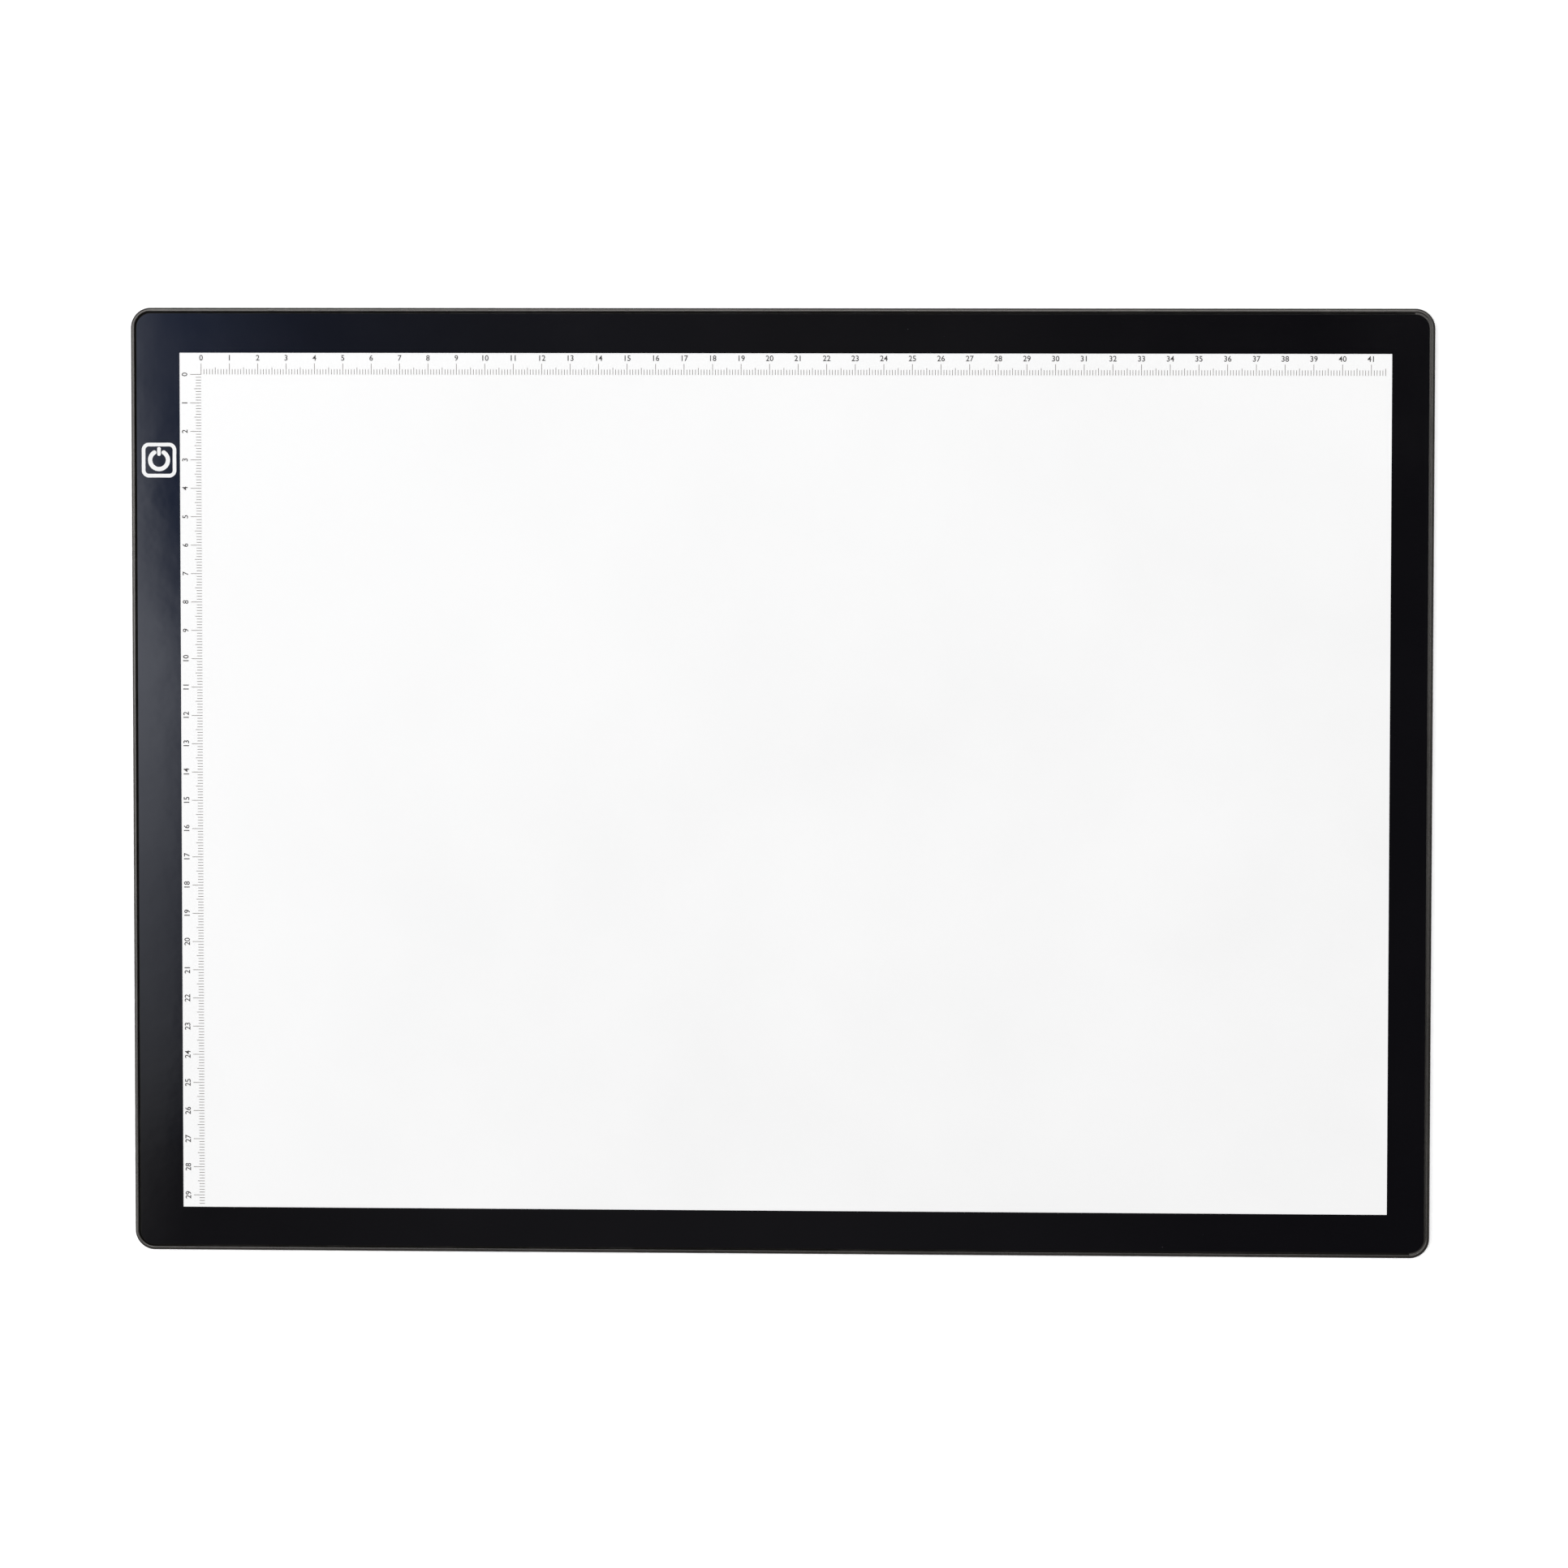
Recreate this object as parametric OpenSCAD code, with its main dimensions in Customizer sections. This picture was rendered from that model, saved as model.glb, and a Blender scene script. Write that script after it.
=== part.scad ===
// LED tracing light pad, A3 class.
// A thin moulded frame holds an opal panel with a black border film. Under the panel lies a light guide
// that two LED strips light from its long edges, and a screwed cover closes the back.
// X runs along the long side, +Y points to the rear edge and +Z away from the table.
// The origin is on the table, under the middle of the pad. Lengths are in millimetres.

/* [Outline] */
// Width of the pad over the frame
pad_w = 457; // [450:1:480]
// Depth of the pad over the frame
pad_d = 333; // [320:1:350]
// Radius of the frame's outer corners
corner_r = 7; // [6:0.5:10]

/* [Window] */
// Width of the black border left of the window, from the frame's outer face
border_left = 17.2; // [16:0.1:20]
// Width of the black border right of the window
border_right = 15; // [14:0.1:20]
// Width of the black border behind the window
border_rear = 15.8; // [14:0.1:20]
// Width of the black border in front of the window
border_front = 15.4; // [14:0.1:20]

/* [Layers] */
// How far the rubber feet stand out below the cover
foot_proud = 1; // [0.6:0.1:2]
// Thickness of the back cover
cover_t = 1.2; // [1.2:0.1:1.6]
// Thickness of the reflector sheet
reflector_t = 0.25; // [0.2:0.05:0.3]
// Thickness of the light guide
guide_t = 2; // [2:0.1:3]
// Thickness of the diffuser sheet
diffuser_t = 0.3; // [0.2:0.05:0.4]
// Thickness of the opal front panel
panel_t = 1.6; // [1.5:0.1:3]
// Thickness of the border film
film_t = 0.1; // [0.1:0.05:0.2]
// Thickness of the printed power symbol and scales
ink_t = 0.03; // [0.02:0.01:0.04]

/* [Frame] */
// Width of the rim around the panel
rim_w = 1.3; // [1.2:0.1:1.6]
// Width of the open groove between the rim and the panel
groove_w = 0.7; // [0.4:0.1:0.8]
// Depth of the groove below the top of the rim
groove_depth = 1.2; // [0.8:0.1:1.2]
// Thickness of the frame's wall around the cover
wall_t = 2; // [1.9:0.1:2.4]
// How far the frame's ledge reaches in from the outer face
ledge_reach = 9.5; // [9.3:0.1:9.6]
// Thickness of the tape between the ledge and the panel
panel_tape_t = 0.15; // [0.1:0.05:0.2]

/* [Scales] */
// Distance of the scales' common zero from the window's left and rear edges
zero_inset = 7.6; // [6.5:0.1:9]
// Width of a scale line
tick_w = 0.2; // [0.1:0.05:0.3]
// Greatest length of the scale along the rear edge, in whole millimetres
rear_scale_l = 415; // [100:5:415]
// Greatest length of the scale along the left edge, in whole millimetres
left_scale_l = 293; // [100:1:293]

/* [Lighting] */
// Number of LEDs on each strip
led_count = 44; // [20:1:44]
// Distance from one LED to the next
led_pitch = 9.7; // [6:0.1:9.7]
// Distance from the frame's outer face to the light guide, front and rear
guide_inset_long = 10.6; // [10.6:0.1:11]
// Distance from the frame's outer face to the light guide, on the left
guide_inset_left = 13; // [13:0.1:14]
// Distance from the frame's outer face to the light guide, on the right
guide_inset_right = 10; // [10:0.1:11]

/* [Controls] */
// Distance of the power symbol's centre from the left outer face
key_inset = 9.8; // [9.2:0.1:10]
// Distance of the power symbol's centre behind the middle of the pad
key_y = 113; // [90:0.5:120]
// Outer side of the power symbol's rounded square
key_side = 12.2; // [10:0.1:12.6]
// Distance of the USB inlet in front of the power symbol's centre
usb_offset = 24; // [20:1:26]

/* [Underside] */
// Diameter of the rubber feet
foot_d = 12; // [8:0.5:16]
// Distance of the corner feet's centres from the frame's outer faces
foot_inset = 22; // [20:1:40]
// Width of the blank label
label_w = 70; // [40:1:100]
// Depth of the blank label
label_d = 30; // [15:1:50]

/* [Hidden] */
$fn = 64;
// Overshoot of a cutting shape beyond the faces it cuts
over = 0.5;

// Heights above the table, from the bottom up
base_z = foot_proud;
cover_top = base_z + cover_t;
guide_z = cover_top + reflector_t;
guide_top = guide_z + guide_t;
panel_z = guide_top + diffuser_t;
ledge_top = panel_z - panel_tape_t;
panel_top = panel_z + panel_t;
film_top = panel_top + film_t;
// The border film lies this far below the top of the rim
film_below_rim = 0.05;
rim_top = film_top + film_below_rim;
frame_h = rim_top - base_z;

// The groove's floor ends this far short of the film's folded edge
kerb_gap = 0.1;
// Roundings of the frame's outer top edge, inner top edge and bottom edge
rim_round = 0.7;
rim_inner_round = 0.25;
base_round = 0.8;
cover_gap = 0.2;
panel_inset = rim_w + groove_w;

// The middle of the light guide lies off the pad's middle, because the control board takes room on the left
guide_w = pad_w - guide_inset_left - guide_inset_right;
guide_d = pad_d - 2 * guide_inset_long;
guide_x = (guide_inset_left - guide_inset_right) / 2;
edge_tape_t = 0.2;

// The window in the border, and the lengths of the scale lines
window_w = pad_w - border_left - border_right;
window_d = pad_d - border_front - border_rear;
cm_tick_l = 3.9;
half_tick_l = 2.5;
mm_tick_l = 1.9;

// LED strips: a flexible circuit stuck to the ledge's inner face, with LEDs that shine into the guide
strip_t = 0.25;
strip_left_x = -pad_w / 2 + ledge_reach + 1;
strip_right_x = pad_w / 2 - ledge_reach - 1.5;
led_size = [3, 0.8, 1.4];

// Control board in a bay of the ledge, behind the power symbol
key_x = -pad_w / 2 + key_inset;
board_size = [10, 70, 0.8];
board_x = -pad_w / 2 + wall_t + 0.3;
board_y = key_y - board_size[1] / 2;
board_tape_t = 0.15;
board_z = cover_top + board_tape_t;
board_top = board_z + board_size[2];
bay_gap = 2;

// Micro-USB inlet, sunk into a notch of the board so that it is centred in the wall's opening
usb_size = [5.6, 7.5, 2.45];
usb_y = key_y - usb_offset;
usb_z = board_z + 1.125;
usb_wall = 0.25;
usb_mouth_gap = 0.2;
usb_chamfer = 1;
usb_front_x = -pad_w / 2 + 0.2;
tongue_size = [4.2, 3.9, 0.6];

// Wires run in the channel between the ledge and the light guide
wire_r = 0.4;
supply_wire_x = -pad_w / 2 + guide_inset_left - 2.6;
return_wire_x = supply_wire_x + 1.1;

// Countersunk screws, four along each long side and one in the middle of each short side
screw_r = 0.9;
screw_head_r = 1.8;
screw_l = 3;
screw_inset = 5.5;
screw_sink = 0.1;
screw_reach = pad_w / 2 - 23;
screw_xs = [-1, -1 / 3, 1 / 3, 1] * screw_reach;

foot_sink = 0.4;
foot_h = foot_proud + foot_sink;
foot_columns = ["left", "middle", "right"];
foot_rows = ["front", "rear"];
label_t = 0.15;
label_sink = 0.2;

// ---- Shared shapes ----

// A rectangle about the origin with round corners
module rounded_rect(w, d, r) {
    square([w - 2 * r, d], center = true);
    square([w, d - 2 * r], center = true);
    for (x = [r - w / 2, w / 2 - r])
        for (y = [r - d / 2, d / 2 - r])
            translate([x, y]) circle(r);
}

// The pad's outline, drawn in by inset all round
module outline(inset) {
    rounded_rect(pad_w - 2 * inset, pad_d - 2 * inset, corner_r - inset);
}

// A flat sheet of the pad's outline, from height z up
module sheet(inset, z, t) {
    translate([0, 0, z]) linear_extrude(t) outline(inset);
}

// The window's opening in the border
module window_cut() {
    translate([border_left - pad_w / 2, border_front - pad_d / 2]) square([window_w, window_d]);
}

// The bay in the ledge that holds the control board
module board_bay(z, t) {
    translate([wall_t - pad_w / 2, board_y - bay_gap, z])
        cube([ledge_reach - wall_t + over, board_size[1] + 2 * bay_gap, t]);
}

// The waste outside a round corner of radius r at the origin, with material towards +X and +Y
module corner_waste(r) {
    difference() {
        translate([-over, -over]) square(r + over);
        translate([r, r]) circle(r);
    }
}

// A round tube swept along a route of points
function unit(v) = v / norm(v);
function along(route, i) = unit(route[min(i + 1, len(route) - 1)] - route[max(i - 1, 0)]);
function across(dir) = unit(cross(dir, abs(dir.z) < 0.9 ? [0, 0, 1] : [1, 0, 0]));
function ring(centre, dir, r, sides) =
    let (side = across(dir), up = cross(side, dir))
    [for (k = [0 : sides - 1]) centre + r * (cos(360 * k / sides) * side + sin(360 * k / sides) * up)];

module tube(route, r, sides) {
    count = len(route);
    points = [for (i = [0 : count - 1]) each ring(route[i], along(route, i), r, sides)];
    walls = [
        for (i = [0 : count - 2])
            for (k = [0 : sides - 1])
                let (next = (k + 1) % sides, a = i * sides, b = a + sides)
                each [[a + k, b + k, b + next], [a + k, b + next, a + next]]
    ];
    first_end = [for (k = [0 : sides - 1]) k];
    last_end = [for (k = [sides - 1 : -1 : 0]) (count - 1) * sides + k];
    polyhedron(points, concat(walls, [first_end, last_end]));
}

// ---- Frame ----

// The wall's cross-section: x runs inwards from the outer face, y upwards from the wall's foot
module wall_profile() {
    difference() {
        union() {
            square([rim_w, frame_h]);
            square([panel_inset - kerb_gap, frame_h - groove_depth]);
            square([wall_t, ledge_top - base_z]);
        }
        corner_waste(base_round);
        translate([0, frame_h]) mirror([0, 1]) corner_waste(rim_round);
        translate([rim_w, frame_h]) mirror([1, 0]) mirror([0, 1]) corner_waste(rim_inner_round);
    }
}

module wall_side(reach, length) {
    translate([reach, 0, base_z])
        rotate([90, 0, 0])
            linear_extrude(length, center = true) mirror([1, 0]) wall_profile();
}

module wall_corner() {
    translate([pad_w / 2 - corner_r, pad_d / 2 - corner_r, base_z])
        rotate_extrude(angle = 90) translate([corner_r, 0]) mirror([1, 0]) wall_profile();
}

module wall() {
    for (turn = [0, 180]) {
        rotate(turn) wall_side(pad_w / 2, pad_d - 2 * corner_r);
        rotate(turn + 90) wall_side(pad_d / 2, pad_w - 2 * corner_r);
        rotate(turn) wall_corner();
        rotate(turn) mirror([1, 0, 0]) wall_corner();
    }
}

module ledge() {
    translate([0, 0, cover_top])
        linear_extrude(ledge_top - cover_top)
            difference() {
                outline(wall_t / 2);
                square([pad_w - 2 * ledge_reach, pad_d - 2 * ledge_reach], center = true);
            }
}

// Opening in the left wall for the USB inlet
module usb_opening() {
    translate([-pad_w / 2 - over, usb_y, usb_z])
        rotate([90, 0, 90])
            linear_extrude(wall_t + over + 0.1)
                rounded_rect(usb_size[1] + 2 * usb_mouth_gap, usb_size[2] + 2 * usb_mouth_gap, 0.6);
}

module at_screws() {
    for (x = screw_xs)
        for (side = [-1, 1])
            translate([x, side * (pad_d / 2 - screw_inset), base_z + screw_sink]) children();
    for (side = [-1, 1])
        translate([side * (pad_w / 2 - screw_inset), 0, base_z + screw_sink]) children();
}

module frame() {
    color("#25221f") difference() {
        union() {
            wall();
            ledge();
        }
        board_bay(cover_top - over, ledge_top - cover_top + 2 * over);
        usb_opening();
        at_screws() cylinder(h = screw_l + 0.1, r = screw_r);
    }
}

// ---- Panel and its print ----

module front_panel() {
    color("white") sheet(panel_inset + film_t, panel_z, panel_t);
}

// The film lies on the panel and is folded down over its edge
module border_film() {
    color("#0e0e12") difference() {
        sheet(panel_inset, panel_z, panel_t + film_t);
        sheet(panel_inset + film_t, panel_z - over, panel_t + over);
        translate([0, 0, panel_z]) linear_extrude(panel_t + film_t + over) window_cut();
    }
}

// A rounded square with a broken ring and a bar, the usual power symbol
module power_key_print() {
    frame_line = 1.28;
    frame_r = 2.5;
    ring_r = 3.15;
    ring_line = 1.5;
    gap_angle = 32;
    bar = [frame_line, 3.1];
    bar_y = 3.05;
    color("white") translate([key_x, key_y, film_top]) {
        linear_extrude(ink_t) difference() {
            rounded_rect(key_side, key_side, frame_r);
            rounded_rect(key_side - 2 * frame_line, key_side - 2 * frame_line, frame_r - frame_line);
        }
        rotate(90 + gap_angle)
            rotate_extrude(angle = 360 - 2 * gap_angle)
                translate([ring_r - ring_line / 2, 0]) square([ring_line, ink_t]);
        for (end = [90 - gap_angle, 90 + gap_angle])
            rotate(end) translate([ring_r, 0]) cylinder(h = ink_t, d = ring_line);
        translate([0, bar_y]) linear_extrude(ink_t) rounded_rect(bar[0], bar[1], bar[0] / 2 - 0.01);
    }
}

// Lines of a millimetre scale along +X: short, longer at 5 mm and longest at 10 mm
module ticks(length) {
    for (i = [0 : length])
        translate([i - tick_w / 2, 0])
            square([tick_w, i % 10 == 0 ? cm_tick_l : i % 5 == 0 ? half_tick_l : mm_tick_l]);
}

// The two scales share their zero: one runs right along the rear edge, the other down the left edge.
// Each stops inside the window.
module scale_print() {
    rear_end = min(rear_scale_l, floor(window_w - zero_inset - tick_w));
    left_end = min(left_scale_l, floor(window_d - zero_inset - tick_w));
    color("#7d746d")
        translate([border_left - pad_w / 2 + zero_inset, pad_d / 2 - border_rear - zero_inset, panel_top])
            linear_extrude(ink_t) {
                ticks(rear_end);
                mirror([1, 0]) rotate(-90) ticks(left_end);
            }
}

module panel_tape() {
    outer_gap = 0.6;
    inner_gap = 0.3;
    color("#3a3a3a") difference() {
        sheet(panel_inset + outer_gap, ledge_top, panel_tape_t);
        translate([0, 0, ledge_top - over])
            linear_extrude(panel_tape_t + 2 * over)
                square([pad_w - 2 * (ledge_reach - inner_gap), pad_d - 2 * (ledge_reach - inner_gap)], center = true);
        board_bay(ledge_top - over, panel_tape_t + 2 * over);
    }
}

// ---- Light guide and its sheets ----

// A flat plate of the light guide's outline
module guide_plate(z, t) {
    translate([guide_x - guide_w / 2, -guide_d / 2, z]) cube([guide_w, guide_d, t]);
}

module diffuser_sheet() {
    color("#f4f4f0") guide_plate(guide_top, diffuser_t);
}

module light_guide() {
    color("#cfe6f2") guide_plate(guide_z, guide_t);
}

module reflector_sheet() {
    color("#e8e8e6") guide_plate(cover_top, reflector_t);
}

// White tape on an unlit edge of the guide, side -1 on the left and 1 on the right
module edge_reflector(side) {
    middle = guide_x + side * (guide_w + edge_tape_t) / 2;
    color("#e8e8e6")
        translate([middle - edge_tape_t / 2, -guide_d / 2, guide_z]) cube([edge_tape_t, guide_d, guide_t]);
}

// ---- LED strips ----

// side 1 puts its children on the rear edge and -1 on the front edge, with +Y outwards
module on_long_edge(side) {
    mirror([0, side < 0 ? 1 : 0, 0]) translate([0, pad_d / 2 - ledge_reach, guide_z]) children();
}

module led_strip(side) {
    color("#f2efe2") on_long_edge(side)
        translate([strip_left_x, -strip_t, 0]) cube([strip_right_x - strip_left_x, strip_t, guide_t]);
}

module leds(side) {
    color("#f6d860") on_long_edge(side)
        for (i = [0 : led_count - 1])
            translate([guide_x + (i - (led_count - 1) / 2) * led_pitch, -strip_t - led_size[1] / 2, guide_t / 2])
                cube(led_size, center = true);
}

// ---- Control board ----

module control_board() {
    notch = [usb_front_x + usb_size[0] + usb_mouth_gap - board_x, usb_size[1] + 2 * usb_mouth_gap];
    color("#1f6b3a") difference() {
        translate([board_x, board_y, board_z]) cube(board_size);
        translate([board_x - over, usb_y - notch[1] / 2, board_z - over])
            cube([notch[0] + over, notch[1], board_size[2] + 2 * over]);
    }
}

module board_tape() {
    edge_gap = 1;
    tape_y = usb_y + usb_size[1] / 2 + 2;
    color("#c9c9c4") translate([board_x + edge_gap, tape_y, cover_top])
        cube([board_size[0] - 2 * edge_gap, board_y + board_size[1] - edge_gap - tape_y, board_tape_t]);
}

// The inlet's cross-section: wide at the top, with its two lower corners cut off
module usb_section(shrink) {
    half_w = usb_size[1] / 2 - shrink;
    half_h = usb_size[2] / 2 - shrink;
    cut = usb_chamfer - 0.4 * shrink;
    polygon([
        [-half_w, half_h],
        [-half_w, cut - half_h],
        [cut - half_w, -half_h],
        [half_w - cut, -half_h],
        [half_w, cut - half_h],
        [half_w, half_h]
    ]);
}

module usb_length(from, length) {
    translate([usb_front_x + from, usb_y, usb_z]) rotate([90, 0, 90]) linear_extrude(length) children();
}

module usb_shell() {
    tab = [2, 1.2, 0.25];
    tab_x = 2.6;
    color("#c8c8cc") {
        difference() {
            usb_length(0, usb_size[0]) usb_section(0);
            usb_length(-over, usb_size[0] + 2 * over) usb_section(usb_wall);
        }
        for (side = [-1, 1])
            translate([usb_front_x + tab_x, usb_y + side * (usb_size[1] + tab[1]) / 2 - tab[1] / 2, board_top])
                cube(tab);
    }
}

module usb_tongue() {
    back_t = 1.2;
    color("#151515") {
        usb_length(usb_size[0] - back_t, back_t) usb_section(usb_wall);
        translate([usb_front_x + usb_size[0] - back_t - tongue_size[0], usb_y - tongue_size[1] / 2, usb_z])
            cube(tongue_size);
    }
}

module usb_contacts() {
    contact = [3.8, 0.4, 0.1];
    contact_pitch = 0.65;
    color("#d9a93a")
        for (i = [-2 : 2])
            translate([
                usb_front_x + usb_size[0] - 1.2 - contact[0],
                usb_y + i * contact_pitch - contact[1] / 2,
                usb_z - contact[2]
            ])
                cube(contact);
}

// A chip of size body with legs in two rows along its long sides
module chip(body, legs_a_side, leg_pitch) {
    leg = [0.9, 0.35, 0.2];
    lift = 0.1;
    translate([-body[0] / 2, -body[1] / 2, lift]) cube([body[0], body[1], body[2] - lift]);
    for (side = [-1, 1])
        for (i = [0 : legs_a_side - 1])
            translate([
                side * (body[0] / 2 + leg[0] / 2) - leg[0] / 2,
                (i - (legs_a_side - 1) / 2) * leg_pitch - leg[1] / 2,
                0
            ])
                cube(leg);
}

// Places its children on the board, at a distance from the power symbol's centre
module on_board(dx, dy) {
    translate([key_x + dx, key_y + dy, board_top]) children();
}

module touch_controller() {
    color("#202020") on_board(-0.8, 12) chip([3.9, 4.9, 1.4], 4, 1.27);
}

module dimmer_transistor() {
    color("#202020") on_board(-0.8, 21) chip([1.3, 2.9, 1.1], 2, 1.9);
}

module board_capacitors() {
    body = [1.25, 2, 1.25];
    color("#b08a5a")
        for (dy = [-14, -11])
            on_board(-3.6, dy) translate([-body[0] / 2, -body[1] / 2, 0]) cube(body);
}

module board_resistors() {
    body = [0.8, 1.6, 0.45];
    color("#262626")
        for (dy = [-8.5, 6.5, 17, 26])
            on_board(-4.6, dy) translate([-body[0] / 2, -body[1] / 2, 0]) cube(body);
}

// Contact spring that joins the board to the back of the panel, under the power symbol
module touch_spring() {
    spring_r = 2.6;
    wire = 0.2;
    turns = 3;
    steps = 14;
    height = panel_z - board_top;
    coil = [
        for (i = [0 : turns * steps])
            let (angle = 360 * i / steps, rise = wire + (height - 2 * wire) * i / (turns * steps))
            [spring_r * cos(angle), spring_r * sin(angle), rise]
    ];
    color("#d8d8da") on_board(0, 0) tube(coil, wire, 6);
}

// ---- Wires from the board to the strips ----

// One wire in the channel at x, from a board end to the strip on the same side
module wire(x, side) {
    board_end = side > 0 ? board_y + board_size[1] : board_y;
    strip_face = side * (pad_d / 2 - ledge_reach - strip_t);
    high = board_top + wire_r;
    low = guide_z + wire_r + 0.05;
    route = [
        [x, board_end - side * 3, high],
        [x, board_end + side * 0.8, high],
        [x, board_end + side * 1.8, high - 0.15],
        [x, board_end + side * 3.4, low + 0.1],
        [x, board_end + side * 4.6, low],
        [x, strip_face, low]
    ];
    tube(route, wire_r, 8);
}

module supply_wire(side) {
    color("#b3261e") wire(supply_wire_x, side);
}

module return_wire(side) {
    color("#1a1a1a") wire(return_wire_x, side);
}

// ---- Underside ----

function foot_x(column) = (column - 1) * (pad_w / 2 - foot_inset);
function foot_y(row) = (2 * row - 1) * (pad_d / 2 - foot_inset);

module label_at(z, gap, t) {
    translate([0, 0, z]) linear_extrude(t) rounded_rect(label_w + 2 * gap, label_d + 2 * gap, 1.5);
}

module back_cover() {
    color("#232224") difference() {
        sheet(wall_t + cover_gap, base_z, cover_t);
        for (row = [0, 1])
            for (column = [0 : 2])
                translate([foot_x(column), foot_y(row), base_z - over])
                    cylinder(h = foot_sink + over, d = foot_d);
        label_at(base_z - over, 0.5, label_sink + over);
        at_screws() {
            translate([0, 0, -screw_sink])
                cylinder(h = screw_head_r - screw_r + screw_sink, r1 = screw_head_r + screw_sink, r2 = screw_r);
            cylinder(h = cover_t + over, r = screw_r);
        }
    }
}

// Countersunk screw with a cross recess, pointing up
module cover_screw() {
    recess = [2.2, 0.5, 0.7];
    difference() {
        union() {
            cylinder(h = screw_head_r - screw_r, r1 = screw_head_r, r2 = screw_r);
            cylinder(h = screw_l, r = screw_r);
        }
        for (turn = [0, 90])
            rotate(turn) translate([0, 0, recess[2] / 2 - over / 2])
                cube([recess[0], recess[1], recess[2] + over], center = true);
    }
}

module cover_screws() {
    color("#8d8d90") at_screws() cover_screw();
}

module blank_label() {
    color("#b9bbbd") label_at(base_z + label_sink - label_t, 0, label_t);
}

// Rubber foot with a rounded lower edge, stuck into a recess of the cover
module foot(row, column) {
    edge_r = 0.4;
    color("#191919") translate([foot_x(column), foot_y(row), 0])
        rotate_extrude()
            difference() {
                square([foot_d / 2, foot_h]);
                translate([foot_d / 2, 0]) mirror([1, 0]) corner_waste(edge_r);
            }
}

frame();
front_panel();
border_film();
power_key_print();
scale_print();
panel_tape();
diffuser_sheet();
light_guide();
reflector_sheet();
edge_reflector(-1);  // edge_reflector_left
edge_reflector(1);  // edge_reflector_right
led_strip(1);  // rear_led_strip
led_strip(-1);  // front_led_strip
leds(1);  // rear_leds
leds(-1);  // front_leds
control_board();
board_tape();
usb_shell();
usb_tongue();
usb_contacts();
touch_controller();
dimmer_transistor();
board_capacitors();
board_resistors();
touch_spring();
supply_wire(1);  // rear_supply_wire
return_wire(1);  // rear_return_wire
supply_wire(-1);  // front_supply_wire
return_wire(-1);  // front_return_wire
back_cover();
cover_screws();
blank_label();
for (row = [0, 1])
    for (column = [0 : 2])
        foot(row, column);
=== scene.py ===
# LED tracing light pad, A3 class, switched on and lying on a pale table.
# X runs along the long side, +Y points to the rear edge and +Z away from the table. Lengths are in metres.
import math

import bpy
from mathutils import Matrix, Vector


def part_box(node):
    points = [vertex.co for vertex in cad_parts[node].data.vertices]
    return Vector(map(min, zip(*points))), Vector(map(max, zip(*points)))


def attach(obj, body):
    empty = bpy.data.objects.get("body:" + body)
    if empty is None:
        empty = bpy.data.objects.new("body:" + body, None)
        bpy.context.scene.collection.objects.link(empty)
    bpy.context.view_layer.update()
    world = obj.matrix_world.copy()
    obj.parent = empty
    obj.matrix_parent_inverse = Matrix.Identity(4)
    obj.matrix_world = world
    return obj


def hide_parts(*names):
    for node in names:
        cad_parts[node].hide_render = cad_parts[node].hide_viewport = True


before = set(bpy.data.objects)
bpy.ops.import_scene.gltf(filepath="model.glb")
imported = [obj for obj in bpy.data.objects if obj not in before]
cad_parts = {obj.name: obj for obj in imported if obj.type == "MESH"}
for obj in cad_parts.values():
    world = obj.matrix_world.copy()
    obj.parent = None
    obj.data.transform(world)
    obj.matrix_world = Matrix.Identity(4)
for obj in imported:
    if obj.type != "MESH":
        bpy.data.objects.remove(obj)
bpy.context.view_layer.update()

MM = 0.001


# ---- Moulded frame ----
# One injection moulding of black ABS: a low wall, a narrow rim with an open groove inside it, and a ledge
# that carries the panel. Its outer faces have a fine satin grain from the mould, and its edges are rounded.
frame_low, frame_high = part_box("frame")
pad_w = frame_high.x - frame_low.x
pad_d = frame_high.y - frame_low.y
base_z = frame_low.z
rim_top = frame_high.z
cover_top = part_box("back_cover")[1].z
ledge_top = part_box("panel_tape")[0].z
corner_r = 7 * MM
corner_steps = 16
rim_w = 1.3 * MM
groove_depth = 1.2 * MM
kerb_gap = 0.02 * MM
panel_inset = frame_high.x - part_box("border_film")[1].x
wall_t = 2 * MM
ledge_reach = 9.5 * MM
rim_round = 0.7 * MM
rim_inner_round = 0.15 * MM
base_round = 0.8 * MM
bay_gap = 2 * MM
hair = 0.01 * MM


def make_active(piece):
    bpy.ops.object.select_all(action="DESELECT")
    piece.select_set(True)
    bpy.context.view_layer.objects.active = piece


def name_new(name):
    """Names the primitive that was just added and lays its place and size into its mesh."""
    piece = bpy.context.object
    piece.name = name
    piece.data.name = name
    make_active(piece)
    bpy.ops.object.transform_apply(location=True, rotation=True, scale=True)
    return piece


def add_block(name, low, high):
    """A block between two corners."""
    low, high = Vector(low), Vector(high)
    bpy.ops.object.select_all(action="DESELECT")
    bpy.ops.mesh.primitive_cube_add(size=1, location=(low + high) / 2)
    bpy.context.object.scale = high - low
    return name_new(name)


def pick_faces(piece, wanted):
    """Leaves the piece in edit mode with only the wanted faces selected."""
    make_active(piece)
    bpy.ops.object.mode_set(mode="EDIT")
    bpy.ops.mesh.select_mode(type="FACE")
    bpy.ops.mesh.select_all(action="DESELECT")
    bpy.ops.object.mode_set(mode="OBJECT")
    for face in piece.data.polygons:
        face.select = wanted(face)
    bpy.ops.object.mode_set(mode="EDIT")


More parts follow.
